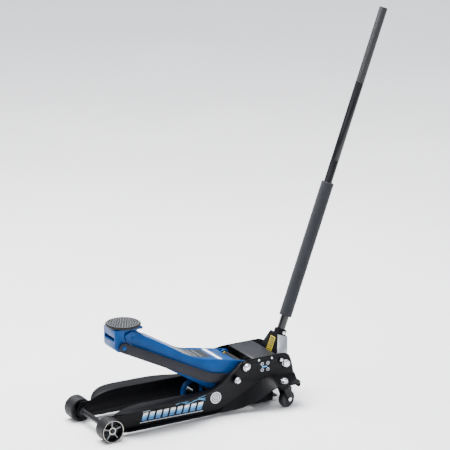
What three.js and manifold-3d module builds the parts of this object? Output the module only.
// A low-profile hydraulic trolley jack, in millimetres, +Z up.
// +X runs to the handle end, -X to the saddle end, and the near side is -Y.
// While it is built, x = 0 is the front axle; at the end the whole jack is
// shifted so that the origin is the middle of its footprint, on the floor.
import * as THREE from 'three';
import { mergeVertices } from 'three/addons/utils/BufferGeometryUtils.js';
import Module from 'manifold-3d';

const wasm = await Module();
wasm.setup();

// ---- driving dimensions ----
const GAP = 0.3;                 // clearance between pieces that touch
const PLATE = 4;                 // side plate thickness
const WEB_IN = 82;               // inner face of each side plate
const WEB_OUT = WEB_IN + PLATE;
const BOTTOM = 15;               // underside of the side plates
const RAIL_TOP = 98;             // top of the front rails
const FLANGE_OUT = 139;          // outer edge of the top flange

const WHEEL_R = 40;              // front wheels
const WHEEL_IN = 90;
const WHEEL_OUT = 142.5;
const AXLE_R = 9;

const ARM_PIVOT = [530, 156];    // x, z of the lift arm's shaft in the frame
const LINK_PIVOT = [490, 118];   // x, z of the levelling links' rear bolts
const LINK_PIN = [90, 285];      // x, z of the links' front pins, in the head
const HEAD_PIN = [LINK_PIN[0] + ARM_PIVOT[0] - LINK_PIVOT[0],
  LINK_PIN[1] + ARM_PIVOT[1] - LINK_PIVOT[1]];
const ARM_FRONT_Y = 40;          // outer half width of the arm at the head
const ARM_REAR_Y = 70.5;         // and at the pivot
const ARM_T = 5;

const SADDLE_X = 112;
const SADDLE_TOP = 358;
const SADDLE_R = 59.5;
const HEAD_TOP = 346;

const RAM_Z = 72;                // axis of the hydraulic cylinder
const LUG_R = 88;                // arm pivot to the pull pins
const LUG_ANGLE = THREE.MathUtils.degToRad(6.5);
const LUG = [ARM_PIVOT[0] - LUG_R * Math.sin(LUG_ANGLE),
  ARM_PIVOT[1] - LUG_R * Math.cos(LUG_ANGLE)];

const YOKE_PIVOT = [683, 143.5];   // x, z of the handle yoke's bolts
const STOP_BOLT = [666, 158];
const HANDLE_LEAN = THREE.MathUtils.degToRad(20.1);
const HANDLE_R = 14;
const HANDLE_LENGTH = 1241;      // from the yoke pivot to the top of the handle
const ROLLER_R = 7;
const ROLLER_DROP = 22;

const CASTER_X = 660;            // kingpin
const CASTER_Y = 120;
const CASTER_R = 29;
const CASTER_TRAIL = 10;
const CASTER_TURN = 15;          // degrees that both casters are swivelled, seen from above
const SHELF_TOP = 86;
const SHELF_T = 5;
const CREASE_TOP = 104;          // where the caster shelf leaves the side plate

// ---- materials ----
const finish = (color, roughness, metalness) =>
  new THREE.MeshStandardMaterial({ color, roughness, metalness });
const BLACK_PAINT = finish(0x2b2c30, 0.4, 0.1);
const BLUE_PAINT = finish(0x1b6fb5, 0.35, 0.1);
const LINK_PAINT = finish(0x45444a, 0.5, 0.1);
const ZINC = finish(0xc9ccd0, 0.3, 0.9);
const CHROME = finish(0xe4e6e8, 0.12, 1.0);
const STEEL = finish(0x8a8d92, 0.4, 0.9);
const RUBBER = finish(0x3a3b3e, 0.85, 0.0);
const TYRE = finish(0x5a5c60, 0.6, 0.0);
const FOAM = finish(0x45474d, 0.9, 0.0);
const DARK_STEEL = finish(0x232428, 0.5, 0.5);

const jack = new THREE.Group();

// ---- helpers ----
function solid(geometry) {
  const bare = geometry.clone();
  bare.deleteAttribute('normal');
  bare.deleteAttribute('uv');
  const merged = mergeVertices(bare, 1e-4);
  return new wasm.Manifold(new wasm.Mesh({
    numProp: 3,
    vertProperties: new Float32Array(merged.attributes.position.array),
    triVerts: new Uint32Array(merged.index.array),
  }));
}

function geometryOf(manifold) {
  const mesh = manifold.getMesh();
  const geometry = new THREE.BufferGeometry();
  geometry.setAttribute('position', new THREE.BufferAttribute(mesh.vertProperties, 3));
  geometry.setIndex(new THREE.BufferAttribute(mesh.triVerts, 1));
  return geometry;
}

function add(name, piece, material) {
  const geometry = piece.isBufferGeometry ? piece : geometryOf(piece);
  const mesh = new THREE.Mesh(geometry, material.clone());
  mesh.name = name;
  jack.add(mesh);
  return mesh;
}

const union = (pieces) => pieces.reduce((sum, piece) => sum.add(piece));

function outline(points) {
  return new THREE.Shape(points.map(([a, b]) => new THREE.Vector2(a, b)));
}

const extrudeOptions = (depth, curveSegments = 10) =>
  ({ depth, bevelEnabled: false, curveSegments });

// An outline in X and Z, made solid from y0 to y1.
function sidePiece(shape, y0, y1, curveSegments) {
  const geometry = new THREE.ExtrudeGeometry(shape, extrudeOptions(y1 - y0, curveSegments));
  geometry.rotateX(Math.PI / 2);
  geometry.translate(0, y1, 0);
  return solid(geometry);
}

// An outline in X and Y, made solid from z0 to z1.
function planPiece(shape, z0, z1, curveSegments) {
  const geometry = new THREE.ExtrudeGeometry(shape, extrudeOptions(z1 - z0, curveSegments));
  geometry.translate(0, 0, z0);
  return solid(geometry);
}

// An outline in Y and Z, made solid from x0 to x1.
function crossPiece(shape, x0, x1) {
  const geometry = new THREE.ExtrudeGeometry(shape, extrudeOptions(x1 - x0));
  geometry.applyMatrix4(new THREE.Matrix4().set(
    0, 0, 1, x0,
    1, 0, 0, 0,
    0, 1, 0, 0,
    0, 0, 0, 1));
  return solid(geometry);
}

function box(x0, x1, y0, y1, z0, z1) {
  const geometry = new THREE.BoxGeometry(x1 - x0, y1 - y0, z1 - z0);
  geometry.translate((x0 + x1) / 2, (y0 + y1) / 2, (z0 + z1) / 2);
  return solid(geometry);
}

// A turned piece: profile points are [radius, distance along the axis].
function turned(profile, segments = 24) {
  return new THREE.LatheGeometry(profile.map(([r, d]) => new THREE.Vector2(r, d)), segments);
}

// LatheGeometry turns about +Y; these lay the axis along X, Y or Z.
const alongY = (geometry, x, z) => solid(geometry.clone().translate(x, 0, z));
const alongX = (geometry, y, z) =>
  solid(geometry.clone().rotateZ(-Math.PI / 2).translate(0, y, z));
const alongZ = (geometry, x, y) =>
  solid(geometry.clone().rotateX(Math.PI / 2).translate(x, y, 0));

const rodProfile = (r, d0, d1) => [[0, d0], [r, d0], [r, d1], [0, d1]];
const tubeProfile = (r0, r1, d0, d1) => [[r0, d0], [r1, d0], [r1, d1], [r0, d1], [r0, d0]];

// d0 < d1 along the axis
const rodY = (x, z, r, y0, y1, n = 20) => alongY(turned(rodProfile(r, y0, y1), n), x, z);
const rodX = (y, z, r, x0, x1, n = 20) => alongX(turned(rodProfile(r, x0, x1), n), y, z);
const rodZ = (x, y, r, z0, z1, n = 20) => alongZ(turned(rodProfile(r, z0, z1), n), x, y);

const mirrorY = (piece, side) => (side < 0 ? piece : piece.mirror([0, 1, 0]));
const SIDES = [[-1, 'left'], [1, 'right']];

// Points of a closed band of the given thickness under an open path.
function bandUnder(points, thickness) {
  const lower = points.map((point, i) => {
    const before = points[Math.max(i - 1, 0)];
    const after = points[Math.min(i + 1, points.length - 1)];
    const along = after.clone().sub(before).normalize();
    return new THREE.Vector2(point.x + along.y * thickness, point.y - along.x * thickness);
  });
  return new THREE.Shape([...points, ...lower.reverse()]);
}

// ---- frame: side plates ----
// The top edge of a side plate, from the front tongue to the rear corner.
function topEdge() {
  const path = new THREE.Path();
  path.moveTo(30, 73);
  path.bezierCurveTo(58, 90, 90, 97, 140, RAIL_TOP);
  path.lineTo(370, RAIL_TOP);
  path.bezierCurveTo(430, 100, 440, 130, 488, 158);
  path.bezierCurveTo(505, 172, 512, 178, 535, 179);
  path.lineTo(670, 180);
  return path;
}

function webOutline() {
  const shape = new THREE.Shape();
  shape.moveTo(-8, BOTTOM + 2);
  shape.quadraticCurveTo(-18, 20, -19, 40);
  shape.quadraticCurveTo(-18, 66, -4, 73);
  shape.lineTo(30, 73);
  topEdge().getPoints(8).slice(1).forEach((point) => shape.lineTo(point.x, point.y));
  shape.quadraticCurveTo(692, 180, 700, 166);
  shape.quadraticCurveTo(716, 130, 720, 64);
  shape.lineTo(716, 64);
  shape.lineTo(708, SHELF_TOP - 2);
  shape.lineTo(650, SHELF_TOP - 2);
  shape.quadraticCurveTo(636, 80, 636, 60);
  shape.lineTo(636, BOTTOM + 5);
  shape.lineTo(452, BOTTOM);
  shape.lineTo(60, BOTTOM);
  return shape;
}

// Along the crease the bottom flange climbs and widens into the caster shelf.
const CREASE = [[424, 19], [470, 42], [512, 63], [560, 86], [594, 102], [616, 105], [634, 104]];
const RAMP_EDGE = [[424, 101, 19], [470, 104, 20], [512, 110, 26], [560, 124, 48],
  [594, 134, 70], [616, 140, 82], [634, 142, SHELF_TOP]];

function ramp() {
  const y = WEB_OUT - 1;
  const inner = new THREE.CatmullRomCurve3(CREASE.map(([x, z]) => new THREE.Vector3(x, y, z)));
  const outer = new THREE.CatmullRomCurve3(RAMP_EDGE.map((p) => new THREE.Vector3(...p)));
  const steps = 14;
  const rows = [];
  for (let i = 0; i <= steps; i += 1) {
    const a = inner.getPoint(i / steps);
    const b = outer.getPoint(i / steps);
    rows.push([[a.x, y, a.z], [b.x, b.y, b.z], [b.x, b.y, b.z - PLATE],
      [a.x, y, a.z - PLATE - 1]]);
  }
  return loft(rows);
}

// A closed body through rows of points, each row a loop of the same length.
function loft(rows) {
  const count = rows[0].length;
  const positions = rows.flat(2);
  const index = [];
  for (let r = 0; r + 1 < rows.length; r += 1) {
    for (let i = 0; i < count; i += 1) {
      const j = (i + 1) % count;
      const a = r * count + i;
      const b = r * count + j;
      index.push(a, a + count, b, b, a + count, b + count);
    }
  }
  const last = (rows.length - 1) * count;
  for (let i = 1; i + 1 < count; i += 1) {
    index.push(0, i, i + 1);
    index.push(last, last + i + 1, last + i);
  }
  const geometry = new THREE.BufferGeometry();
  geometry.setAttribute('position', new THREE.Float32BufferAttribute(positions, 3));
  geometry.setIndex(index);
  const body = solid(geometry);
  return body.volume() < 0 ? solid(flipped(geometry)) : body;
}

function flipped(geometry) {
  const copy = geometry.clone();
  const index = Array.from(copy.index.array);
  for (let i = 0; i < index.length; i += 3) {
    [index[i + 1], index[i + 2]] = [index[i + 2], index[i + 1]];
  }
  copy.setIndex(index);
  return copy;
}

// How far the top flange stands out along the rail, seen from above.
function topFlangePlan() {
  const shape = new THREE.Shape();
  shape.moveTo(30, WEB_OUT - 1);
  shape.bezierCurveTo(48, 118, 72, FLANGE_OUT, 125, FLANGE_OUT);
  shape.lineTo(250, FLANGE_OUT);
  shape.bezierCurveTo(320, FLANGE_OUT, 350, 112, 400, 102);
  shape.lineTo(478, 98);
  shape.quadraticCurveTo(508, 97, 516, WEB_OUT - 1);
  return shape;
}

function bottomFlangePlan() {
  const shape = new THREE.Shape();
  shape.moveTo(36, WEB_OUT - 1);
  shape.quadraticCurveTo(44, 114, 80, 116);
  shape.lineTo(380, 104);
  shape.quadraticCurveTo(430, 100, 446, WEB_OUT - 1);
  return shape;
}

function shelf() {
  const profile = outline([[WEB_OUT - 1, CREASE_TOP], [102, SHELF_TOP], [143, SHELF_TOP],
    [143, SHELF_TOP - SHELF_T], [100, SHELF_TOP - SHELF_T], [WEB_OUT - 1, CREASE_TOP - 7]]);
  const plan = new THREE.Shape();
  plan.moveTo(622, 80);
  plan.lineTo(622, 141);
  plan.lineTo(640, 143);
  plan.lineTo(690, 143);
  plan.quadraticCurveTo(716, 142, 720, 118);
  plan.lineTo(720, 80);
  const rearLip = crossPiece(roundedLip(), 715.5, 720);
  return crossPiece(profile, 590, 724).intersect(planPiece(plan, 60, 130)).add(rearLip);
}

function roundedLip() {
  const shape = new THREE.Shape();
  shape.moveTo(WEB_OUT - 1, 62);
  shape.lineTo(116, 62);
  shape.quadraticCurveTo(126, 63, 127, 74);
  shape.lineTo(127, SHELF_TOP - 1);
  shape.lineTo(WEB_OUT - 1, SHELF_TOP - 1);
  return shape;
}

function sidePlate() {
  const web = sidePiece(webOutline(), WEB_IN, WEB_OUT, 6);
  const band = sidePiece(bandUnder(topEdge().getPoints(8), PLATE), WEB_OUT - 1, 150);
  const topFlange = band.intersect(planPiece(topFlangePlan(), 0, 200, 8));
  const bottomFlange = planPiece(bottomFlangePlan(), BOTTOM, BOTTOM + PLATE, 8);
  const boss = alongY(turned(tubeProfile(10, 20, WEB_OUT - 1, 91)), ARM_PIVOT[0], ARM_PIVOT[1]);
  const body = union([web, topFlange, bottomFlange, ramp(), shelf(), boss]);
  const holes = [
    rodY(0, WHEEL_R, AXLE_R + GAP, 70, 150),
    rodY(ARM_PIVOT[0], ARM_PIVOT[1], 12 + GAP, 70, 150),
    rodY(LINK_PIVOT[0], LINK_PIVOT[1], 8 + GAP, 70, 150),
    rodY(YOKE_PIVOT[0], YOKE_PIVOT[1], 8 + GAP, 70, 150),
    rodY(STOP_BOLT[0], STOP_BOLT[1], 6 + GAP, 70, 150),
    rodZ(CASTER_X, CASTER_Y, 8 + GAP, 60, 120),
  ];
  COVER_SCREWS.forEach(([x, z]) => holes.push(rodY(x, z, 3 + GAP, 70, 150, 12)));
  return body.subtract(union(holes));
}

const COVER_SCREWS = [[580, 170], [630, 170]];

function addFrame() {
  const plate = sidePlate();
  add('side_plate_right', plate, BLACK_PAINT);
  add('side_plate_left', plate.mirror([0, 1, 0]), BLACK_PAINT);

  const axle = union([rodY(0, WHEEL_R, AXLE_R, -136, 136),
    rodY(0, WHEEL_R, 13, -WEB_IN + GAP, WEB_IN - GAP)]);
  add('front_axle', axle, DARK_STEEL);

  // base plate and rear cross member under the hydraulic unit
  const base = planPiece(outline([[560, -81.6], [560, 81.6], [634, 81.6],
    [642, 55], [672, 55], [672, -55], [642, -55], [634, -81.6]]), 16, 21);
  add('base_plate', base, BLACK_PAINT);

}

// A hexagonal nut or head about an axis along Y.
function hexY(x, z, r, y0, y1) {
  return alongY(turned(rodProfile(r, y0, y1), 6), x, z);
}

// A domed nut, its flat side at d0 and its top at d1, in [radius, distance] form.
function domeProfile(r, d0, d1) {
  const steps = 3;
  const points = [[0, d0], [r, d0]];
  for (let i = 0; i <= steps; i += 1) {
    const turn = (i / steps) * Math.PI / 2;
    points.push([r * Math.cos(turn), d0 + (d1 - d0) * (0.35 + 0.65 * Math.sin(turn))]);
  }
  points[points.length - 1][0] = 0;
  return points;
}

function addFrameBolts() {
  add('arm_shaft', rodY(ARM_PIVOT[0], ARM_PIVOT[1], 12, -WEB_OUT - 2, WEB_OUT + 2), STEEL);
  for (const [side, word] of SIDES) {
    const nut = alongY(turned(domeProfile(13, 92, 103)), ARM_PIVOT[0], ARM_PIVOT[1]);
    add(`arm_shaft_nut_${word}`, mirrorY(nut, -side), CHROME);
    const bolt = union([rodY(LINK_PIVOT[0], LINK_PIVOT[1], 8, 71.5, 95),
      rodY(LINK_PIVOT[0], LINK_PIVOT[1], 12, WEB_OUT + GAP, 100),
      alongY(turned(domeProfile(11, 99, 112)), LINK_PIVOT[0], LINK_PIVOT[1])]);
    add(`link_bolt_${word}`, mirrorY(bolt, -side), ZINC);
    const pivot = union([rodY(YOKE_PIVOT[0], YOKE_PIVOT[1], 8, 58, 92),
      rodY(YOKE_PIVOT[0], YOKE_PIVOT[1], 13.3, WEB_OUT + GAP, 89),
      hexY(YOKE_PIVOT[0], YOKE_PIVOT[1], 13, 88, 98)]);
    add(`yoke_bolt_${word}`, mirrorY(pivot, -side), ZINC);
    const stop = union([rodY(STOP_BOLT[0], STOP_BOLT[1], 6, 72, 93),
      rodY(STOP_BOLT[0], STOP_BOLT[1], 8.5, WEB_OUT + GAP, 89),
      rodY(STOP_BOLT[0], STOP_BOLT[1], 8.5, 72, WEB_IN - GAP)]);
    add(`stop_bolt_${word}`, mirrorY(stop, -side), ZINC);
    const nutZ = alongZ(turned([[0, SHELF_TOP + GAP], [15, SHELF_TOP + GAP], [15, 90],
      [12.5, 90], [12.5, 99], [9, 104], [0, 104]], 24), CASTER_X, CASTER_Y);
    add(`caster_nut_${word}`, mirrorY(nutZ, -side), ZINC);
  }
}

// ---- cover between the side plates ----
function addCover() {
  const y = WEB_IN - 0.5;
  const top = outline([[-y, 150], [-y, 179], [y, 179], [y, 150], [y - 3, 150],
    [y - 3, 176], [-y + 3, 176], [-y + 3, 150]]);
  const hump = new THREE.Shape();
  hump.moveTo(556, 150);
  hump.lineTo(556, 173);
  hump.quadraticCurveTo(560, 179, 572, 179);
  hump.lineTo(650, 179);
  hump.lineTo(650, 162);
  hump.lineTo(636, 150);
  let cover = crossPiece(top, 556, 650).intersect(sidePiece(hump, -90, 90));
  COVER_SCREWS.forEach(([x, z]) => {
    cover = cover.subtract(rodY(x, z, 3 + GAP, -100, 100, 12));
  });
  add('cover_plate', cover, BLACK_PAINT);
  for (const [side, word] of SIDES) {
    COVER_SCREWS.forEach(([x, z], i) => {
      const screw = union([rodY(x, z, 3, 76, 88, 12),
        alongY(turned(domeProfile(4.5, WEB_OUT + GAP, 89.5), 16), x, z)]);
      add(`cover_screw_${word}_${i + 1}`, mirrorY(screw, -side), ZINC);
    });
  }
}

// ---- hydraulic unit ----
const CYL_FRONT = 482;
const UNIT_FRONT = 596;
const UNIT_REAR = 650;
const PUMP_Z = YOKE_PIVOT[1] - 21;
const TAPPET_X = YOKE_PIVOT[0] - 1.1;     // the pump piston's flat end, at rest

function addHydraulics() {
  let unit = box(UNIT_FRONT, UNIT_REAR, -42, 42, 21.3, 134);
  unit = unit.subtract(rodX(0, PUMP_Z, 6.5 + GAP, 600, 660));
  unit = unit.subtract(rodX(0, RAM_Z - 20, 5 + GAP, 630, 660));
  add('hydraulic_block', unit, DARK_STEEL);

  const cylinder = alongX(turned([[20.5, CYL_FRONT], [32, CYL_FRONT], [32, CYL_FRONT + 16],
    [29, CYL_FRONT + 18], [29, UNIT_FRONT - GAP], [0, UNIT_FRONT - GAP],
    [0, UNIT_FRONT - 4], [20.5, UNIT_FRONT - 4], [20.5, CYL_FRONT]], 28), 0, RAM_Z);
  add('ram_cylinder', cylinder, DARK_STEEL);

  const pumpNut = alongX(turned(tubeProfile(7.2, 11, UNIT_REAR + GAP, UNIT_REAR + 7)), 0, PUMP_Z);
  add('pump_gland_nut', pumpNut, ZINC);

  const piston = union([rodX(0, PUMP_Z, 6.5, 632, TAPPET_X - 1),
    rodX(0, PUMP_Z, 10, TAPPET_X - 4, TAPPET_X)]);
  add('pump_piston', piston, CHROME);

  const stem = union([rodX(0, RAM_Z - 20, 5, 634, 662), rodX(0, RAM_Z - 20, 9, 661, 672, 6)]);
  add('release_valve_stem', stem, ZINC);
}

// ---- ram, crosshead and pull frame ----
const CROSSBAR = 414;
const NOSE_X = 371;

function addRam() {
  add('ram_rod', rodX(0, RAM_Z, 14, CROSSBAR + 6 + GAP, 538, 28), CHROME);

  const nose = new THREE.Shape();
  nose.moveTo(404, RAM_Z - 40);
  nose.lineTo(NOSE_X, RAM_Z - 40);
  nose.absarc(NOSE_X, RAM_Z, 40, -Math.PI / 2, Math.PI / 2, true);
  nose.lineTo(404, RAM_Z + 40);
  nose.lineTo(404, RAM_Z + 32);
  nose.lineTo(NOSE_X, RAM_Z + 32);
  nose.absarc(NOSE_X, RAM_Z, 32, Math.PI / 2, -Math.PI / 2, false);
  nose.lineTo(404, RAM_Z - 32);
  const back = box(403, 407.7, -11, 11, RAM_Z - 40, RAM_Z + 40);
  add('ram_nose', sidePiece(nose, -11, 11, 14).add(back), BLUE_PAINT);

  const arm = new THREE.Shape();
  arm.moveTo(CROSSBAR - 6, RAM_Z - 12);
  arm.lineTo(500, RAM_Z - 12);
  arm.lineTo(508, 48);
  arm.lineTo(534, 48);
  arm.lineTo(540, 60);
  arm.lineTo(540, 92);
  arm.lineTo(532, 99);
  arm.lineTo(508, 99);
  arm.lineTo(498, RAM_Z + 14);
  arm.lineTo(CROSSBAR - 6, RAM_Z + 14);
  const slot = new THREE.Shape();
  const low = LUG[1] - 8;
  const high = LUG[1] + 20;
  slot.moveTo(LUG[0] - 8, low);
  slot.lineTo(LUG[0] + 8, low);
  slot.lineTo(LUG[0] + 8, high);
  slot.lineTo(LUG[0] - 8, high);
  const bar = sidePiece(arm, 54, 60).subtract(sidePiece(slot, 50, 64));
  const crossbar = box(CROSSBAR - 6, CROSSBAR + 6, -60, 60, RAM_Z - 12, RAM_Z + 14);
  const pull = union([crossbar, bar, bar.mirror([0, 1, 0])]);
  add('pull_frame', pull, DARK_STEEL);

  const pin = union([rodY(NOSE_X - 6, 78, 5.5, -25, 25), rodY(NOSE_X - 6, 78, 8, 22, 26),
    rodY(NOSE_X - 6, 78, 8, -26, -22)]);
  add('nose_pin', pin, CHROME);
}

function addSprings() {
  for (const [side, word] of SIDES) {
    const spring = rodX(40 * side, 100, 7, CROSSBAR + 8, UNIT_FRONT - 2, 12);
    add(`return_spring_${word}`, spring, ZINC);
  }
}

// ---- lift arm ----
// Half width of the arm's outer face along its length.
function armPlan(inset) {
  const shape = new THREE.Shape();
  const front = ARM_FRONT_Y - inset;
  const rear = ARM_REAR_Y - inset;
  shape.moveTo(80, front);
  shape.lineTo(150, front);
  shape.lineTo(400, rear);
  shape.lineTo(570, rear);
  shape.lineTo(570, -rear);
  shape.lineTo(400, -rear);
  shape.lineTo(150, -front);
  shape.lineTo(80, -front);
  return shape;
}

function armOutline() {
  const [hx, hz] = HEAD_PIN;
  const [ax, az] = ARM_PIVOT;
  const shape = new THREE.Shape();
  shape.moveTo(hx - 16, hz - 26.6);
  shape.absarc(hx, hz, 31, -Math.PI * 0.672, -Math.PI * 1.025, true);
  shape.lineTo(hx - 5, hz + 14);
  shape.lineTo(190, 301);
  shape.lineTo(310, 230);
  shape.bezierCurveTo(340, 212, 360, 205, 400, 199);
  shape.lineTo(512, 177);
  shape.lineTo(ax + 9, az + 15.6);
  shape.absarc(ax, az, 18, Math.PI * 0.33, -Math.PI * 0.1, true);
  shape.lineTo(LUG[0] + 16, LUG[1] - 2);
  shape.absarc(LUG[0], LUG[1], 16, 0, -Math.PI * 0.75, true);
  shape.lineTo(440, 88);
  shape.bezierCurveTo(410, 92, 395, 98, 370, 113);
  shape.lineTo(250, 186);
  shape.lineTo(182, 240);
  shape.quadraticCurveTo(140, 272, hx - 16, hz - 26.6);
  return shape;
}

// The hollow under the arm's top plate; it is open below.
function armHollow() {
  const shape = new THREE.Shape();
  shape.moveTo(60, 0);
  shape.lineTo(60, 400);
  shape.lineTo(172, 400);
  shape.lineTo(172, 306);
  shape.lineTo(190, 295);
  shape.lineTo(309, 224.5);
  shape.bezierCurveTo(339, 206, 359, 200, 399, 193.5);
  shape.lineTo(500, 173.5);
  shape.lineTo(512, 400);
  shape.lineTo(600, 400);
  shape.lineTo(600, 0);
  return shape;
}

function addArm() {
  const [hx, hz] = HEAD_PIN;
  const [ax, az] = ARM_PIVOT;
  let arm = sidePiece(armOutline(), -80, 80, 10).intersect(planPiece(armPlan(0), 0, 400));
  const hollow = sidePiece(armHollow(), -90, 90, 10)
    .intersect(planPiece(armPlan(ARM_T), -10, 500));
  arm = arm.subtract(hollow);
  const hub = alongY(turned(rodProfile(17, 60, ARM_REAR_Y - 1)), ax, az);
  const stub = union([rodY(LUG[0], LUG[1], 6, 52, ARM_REAR_Y - 1),
    rodY(LUG[0], LUG[1], 6, -ARM_REAR_Y + 1, -52)]);
  arm = union([arm, hub, hub.mirror([0, 1, 0]), stub]);
  arm = arm.subtract(rodY(ax, az, 12 + GAP, -90, 90));
  arm = arm.subtract(rodY(hx, hz, 9 + GAP, -60, 60));
  add('lift_arm', arm, BLUE_PAINT);
  const pin = rodY(hx, hz, 9, -ARM_FRONT_Y + 0.5, ARM_FRONT_Y - 0.5);
  add('head_pin', pin, STEEL);
}

// ---- levelling links ----
function addLinks() {
  const [fx, fz] = LINK_PIN;
  const [bx, bz] = LINK_PIVOT;
  const shape = new THREE.Shape();
  shape.moveTo(fx + 7.2, fz + 15.4);
  shape.absarc(fx, fz, 17, Math.PI * 0.36, -Math.PI * 0.64, false);
  shape.lineTo(380, 127);
  shape.quadraticCurveTo(392, 121, 405, 119);
  shape.lineTo(bx - 4, bz - 16.5);
  shape.absarc(bx, bz, 17, -Math.PI * 0.57, Math.PI * 0.43, false);
  shape.lineTo(418, 150);
  shape.quadraticCurveTo(400, 153, 385, 161);
  const plan = outline([[60, 42.5], [110, 42.5], [370, 72], [520, 72], [520, 81],
    [368, 81], [108, 51.5], [60, 51.5]]);
  let bar = sidePiece(shape, 30, 90, 10).intersect(planPiece(plan, 0, 400));
  bar = bar.subtract(rodY(fx, fz, 8.5, 20, 90)).subtract(rodY(bx, bz, 8 + GAP, 20, 90));
  add('link_bar_right', bar, LINK_PAINT);
  add('link_bar_left', bar.mirror([0, 1, 0]), LINK_PAINT);
}

// ---- saddle head ----
function addHead() {
  const [fx, fz] = LINK_PIN;
  const [hx, hz] = HEAD_PIN;
  const front = 61;
  const half = ARM_FRONT_Y;
  const cheek = new THREE.Shape();
  cheek.moveTo(front, HEAD_TOP);
  cheek.lineTo(front, 290);
  cheek.quadraticCurveTo(front + 2, 270, fx - 6, 269);
  cheek.quadraticCurveTo(fx + 15, 270, fx + 16, fz);
  cheek.lineTo(fx + 14, 300);
  cheek.lineTo(hx, 312);
  cheek.lineTo(hx + 35, HEAD_TOP - 8);
  cheek.lineTo(hx + 35, HEAD_TOP);
  const armRoom = rodY(hx, hz, 34.5, -60, 60, 40).add(box(hx - 4, hx + 60, -60, 60, 260, 340))
    .intersect(box(60, 240, -70, 70, 240, HEAD_TOP - 7.5));
  let body = sidePiece(cheek, -half, half).subtract(armRoom);

  // middle block between the arm's cheeks, carrying the head pin
  const block = new THREE.Shape();
  block.moveTo(front + 2, HEAD_TOP - 1);
  block.lineTo(front + 2, 296);
  block.lineTo(hx - 4, hz - 16);
  block.absarc(hx, hz, 16, -Math.PI * 0.58, 0, false);
  block.lineTo(hx + 18, HEAD_TOP - 1);
  body = body.add(sidePiece(block, -half + ARM_T + 1.5, half - ARM_T - 1.5, 8));
  body = body.subtract(box(front - 1, front + 24, -half + 6, half - 6, 308, 320));
  body = body.subtract(box(front + 8, 120, -half + 8, half - 8, 260, 303));
  body = body.subtract(rodY(hx, hz, 9 + GAP, -60, 60));
  body = body.subtract(rodZ(SADDLE_X, 0, 15.5, 336, 360));
  const pin = rodY(fx, fz, 8, half - 2, 53);
  body = union([body, pin, pin.mirror([0, 1, 0])]);
  add('saddle_head', body, BLUE_PAINT);
}

function addSaddle() {
  const z = HEAD_TOP + GAP;
  const cup = alongZ(turned([[0, 336.5], [15, 336.5], [15, z], [SADDLE_R - 5, z],
    [SADDLE_R, z + 4], [SADDLE_R, z + 8.7], [SADDLE_R - 2.5, z + 8.7], [SADDLE_R - 3, z + 4.7],
    [0, z + 4.7]], 40), SADDLE_X, 0);
  add('saddle_cup', cup, DARK_STEEL);
  const pad = alongZ(turned([[0, z + 5], [SADDLE_R - 3.4, z + 5], [SADDLE_R - 3.4, SADDLE_TOP - 1],
    [SADDLE_R - 4.5, SADDLE_TOP], [0, SADDLE_TOP]], 40), SADDLE_X, 0);
  add('saddle_pad', pad, RUBBER);
}

// ---- handle yoke ----
// Yoke and handle are drawn upright about the pivot and then leaned back.
function leaned(piece) {
  return piece.rotate([0, THREE.MathUtils.radToDeg(HANDLE_LEAN), 0])
    .translate([YOKE_PIVOT[0], 0, YOKE_PIVOT[1]]);
}

const SOCKET_TOP = 96;

function addYoke() {
  const front = outline([[-52, -16], [-52, 22], [-21, 82], [21, 82], [52, 22], [52, -16],
    [36, -16], [30, -8], [-30, -8], [-36, -16]]);
  add('yoke_front_plate', leaned(crossPiece(front, -26, -22)), BLACK_PAINT);

  // folded cheeks, closed at the top by the collar's seat
  const cheek = loft([
    [[-21.5, 50, -20], [22, 50, -20], [22, 54, -20], [-21.5, 54, -20]],
    [[-21.5, 50, 20], [22, 50, 20], [22, 54, 20], [-21.5, 54, 20]],
    [[-21.5, 20, 78.5], [19, 20, 78.5], [19, 24, 78.5], [-21.5, 24, 78.5]],
  ]);
  for (const [side, word] of SIDES) {
    const piece = mirrorY(cheek, -side).subtract(rodY(0, 0, 8 + GAP, -90, 90));
    add(`yoke_cheek_${word}`, leaned(piece), ZINC);
  }
  const seat = box(-21.5, 19, -19, 19, 70, 80).subtract(rodZ(0, 0, HANDLE_R + 1, 60, 90));
  const collar = alongZ(turned(tubeProfile(HANDLE_R + 0.5, 21, 79, SOCKET_TOP), 32), 0, 0);
  const screwHole = rodY(0, 88, 3 + GAP, -30, 0, 12);
  add('yoke_collar', leaned(seat.add(collar).subtract(screwHole)), BLACK_PAINT);
  const screw = union([rodY(0, 88, 3, -24, -15.5, 12), rodY(0, 88, 5.5, -26, -21.4, 12)]);
  add('collar_screw', leaned(screw), ZINC);

  // roller between two lugs pushes the pump piston
  const roller = rodY(0, -ROLLER_DROP, ROLLER_R, -12, 12, 24);
  add('yoke_roller', rollerAt(roller), STEEL);
}

function rollerAt(roller) {
  return roller.rotate([0, -18, 0]).translate([YOKE_PIVOT[0], 0, YOKE_PIVOT[1]]);
}

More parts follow.
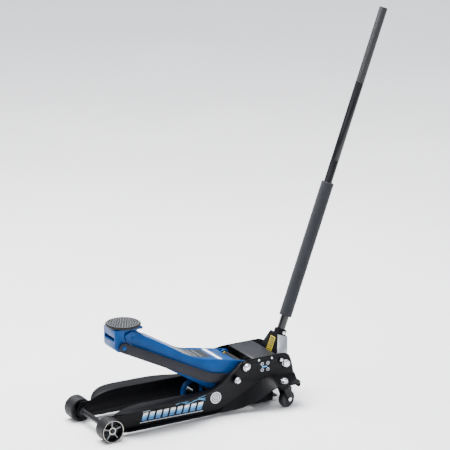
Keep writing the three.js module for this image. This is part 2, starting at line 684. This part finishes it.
// ---- handle ----
function addHandle() {
  const r = HANDLE_R;
  const wall = 2;
  const lower = alongZ(turned(tubeProfile(r - wall, r, 30, 700)), 0, 0);
  add('handle_lower_tube', leaned(lower), BLACK_PAINT);
  const upperTube = alongZ(turned([[9, 590], [r - wall - GAP, 590], [r - wall - GAP, 700 + GAP],
    [r, 700 + GAP], [r, HANDLE_LENGTH - 3], [9, HANDLE_LENGTH - 3], [9, 590]]), 0, 0);
  add('handle_upper_tube', leaned(upperTube), BLACK_PAINT);
  const foam = alongZ(turned([[r + GAP, 144], [20.5, 144], [21.7, 150], [21.7, 616], [20.5, 622],
    [r + GAP, 622], [r + GAP, 144]]), 0, 0);
  add('foam_sleeve', leaned(foam), FOAM);
  const cap = alongZ(turned([[0, HANDLE_LENGTH - 10], [8.6, HANDLE_LENGTH - 10],
    [8.6, HANDLE_LENGTH - 2.7], [r, HANDLE_LENGTH - 2.7], [r, HANDLE_LENGTH - 1],
    [r - 1, HANDLE_LENGTH], [0, HANDLE_LENGTH]]), 0, 0);
  add('handle_end_cap', leaned(cap), RUBBER);
}

// ---- wheels ----
function addFrontWheels() {
  const tyre = turned([[33, WHEEL_IN], [38, WHEEL_IN], [WHEEL_R, WHEEL_IN + 2],
    [WHEEL_R, WHEEL_OUT - 2], [38.5, WHEEL_OUT], [36, WHEEL_OUT], [36, WHEEL_OUT - 2],
    [33, WHEEL_OUT - 4], [33, WHEEL_IN]], 36);
  const rimBody = turned([[AXLE_R + 0.35, WHEEL_IN + 3], [14, WHEEL_IN + 3], [14, 112],
    [28, 112], [28, WHEEL_IN + 3], [32.6, WHEEL_IN + 3], [32.6, WHEEL_OUT - 5], [28, WHEEL_OUT - 5],
    [28, 118], [14, 118], [14, WHEEL_OUT - 8], [AXLE_R + 0.35, WHEEL_OUT - 8],
    [AXLE_R + 0.35, WHEEL_IN + 3]], 24);
  const spoke = outline([[12, -3], [30, -3], [30, 3], [12, 3]]);
  for (const [side, word] of SIDES) {
    add(`front_tyre_${word}`, mirrorY(alongY(tyre, 0, WHEEL_R), -side), TYRE);
    let rim = solid(rimBody);
    for (let i = 0; i < 5; i += 1) {
      const bar = sidePiece(spoke, 117, WHEEL_OUT - 7).rotate([0, i * 72 + 18, 0]);
      rim = rim.add(bar);
    }
    add(`front_rim_${word}`, mirrorY(rim.translate([0, 0, WHEEL_R]), -side), DARK_STEEL);
    const cap = alongY(turned([[0, 136.4], [8, 136.4], [8, 139], [6, 141], [0, 141.5]], 24), 0, WHEEL_R);
    add(`axle_cap_${word}`, mirrorY(cap, -side), ZINC);
  }
}

// A caster is drawn about its kingpin, trailing towards +X, then swivelled into place.
function addCasters() {
  const leg = new THREE.Shape();
  leg.moveTo(-20, 72);
  leg.lineTo(CASTER_TRAIL - 9, CASTER_R);
  leg.absarc(CASTER_TRAIL, CASTER_R, 9, Math.PI, 0, false);
  leg.lineTo(20, 72);
  const top = alongZ(turned([[8 + GAP, 68], [21, 68], [21, 73], [23, 74], [23, 80.4],
    [8 + GAP, 80.4], [8 + GAP, 68]]), 0, 0);
  const fork = union([top, sidePiece(leg, 13.5, 16.5), sidePiece(leg, -16.5, -13.5)])
    .subtract(rodY(CASTER_TRAIL, CASTER_R, 5 + GAP, -30, 30, 16));
  const axle = union([rodY(CASTER_TRAIL, CASTER_R, 5, -18, 18, 16),
    hexY(CASTER_TRAIL, CASTER_R, 8, 17, 19), hexY(CASTER_TRAIL, CASTER_R, 8, -19, -17)]);
  const wheel = alongY(turned([[5.35, -12.5], [12, -12.5], [12, -8], [23, -8], [25, -11],
    [28, -11], [CASTER_R, -8], [CASTER_R, 8], [28, 11], [25, 11], [23, 8], [12, 8],
    [12, 12.5], [5.35, 12.5], [5.35, -12.5]], 28), CASTER_TRAIL, CASTER_R);
  for (const [side, word] of SIDES) {
    const place = (piece) => piece.rotate([0, 0, CASTER_TURN])
      .translate([CASTER_X, side * CASTER_Y, 0]);
    add(`caster_fork_${word}`, place(fork), BLACK_PAINT);
    add(`caster_axle_${word}`, place(axle), ZINC);
    add(`caster_wheel_${word}`, place(wheel), RUBBER);
  }
}

addFrame();
addFrameBolts();
addCover();
addHydraulics();
addRam();
addSprings();
addArm();
addLinks();
addHead();
addSaddle();
addYoke();
addHandle();
addFrontWheels();
addCasters();

const bounds = new THREE.Box3().setFromObject(jack);
jack.position.x = -(bounds.min.x + bounds.max.x) / 2;

export default jack;
